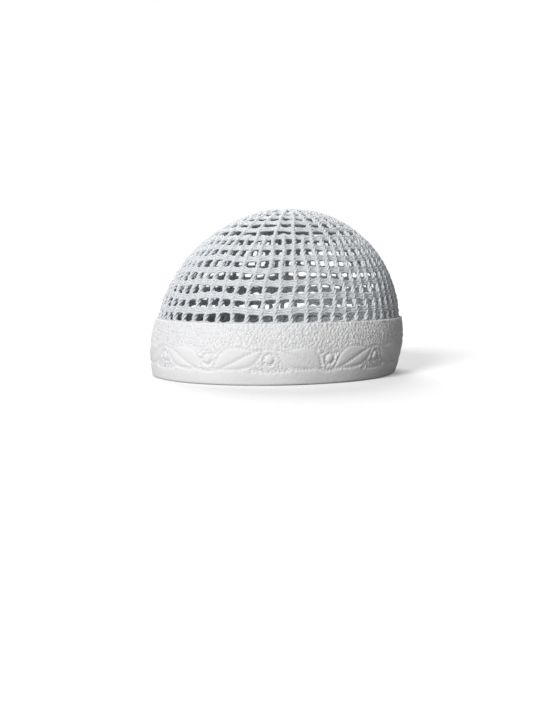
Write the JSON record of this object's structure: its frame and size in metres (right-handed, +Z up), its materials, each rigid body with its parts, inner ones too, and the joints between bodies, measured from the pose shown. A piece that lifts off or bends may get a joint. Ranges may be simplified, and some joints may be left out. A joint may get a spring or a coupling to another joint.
{
  "type": "chechia, a crocheted net skullcap with a quilted band",
  "caption": "Soft white skullcap with an open crocheted net crown sewn inside a smooth quilted cotton band, resting on its rim.",
  "frame": {"origin": "centre of the plan on the plane that the rim rests on", "axes": "+Z up to the crown; -Y the front; +Y the back, along the cap's length; +X to the wearer's left"},
  "size_m": [0.1746, 0.2001, 0.118],
  "materials": {
    "quilted_cotton": "matte white cotton, quilted",
    "crochet_cotton": "matte white cotton yarn, crocheted"
  },
  "bodies": {
    "root": {"band": "quilted_cotton", "crown_net": "crochet_cotton"}
  },
  "joints": []
}
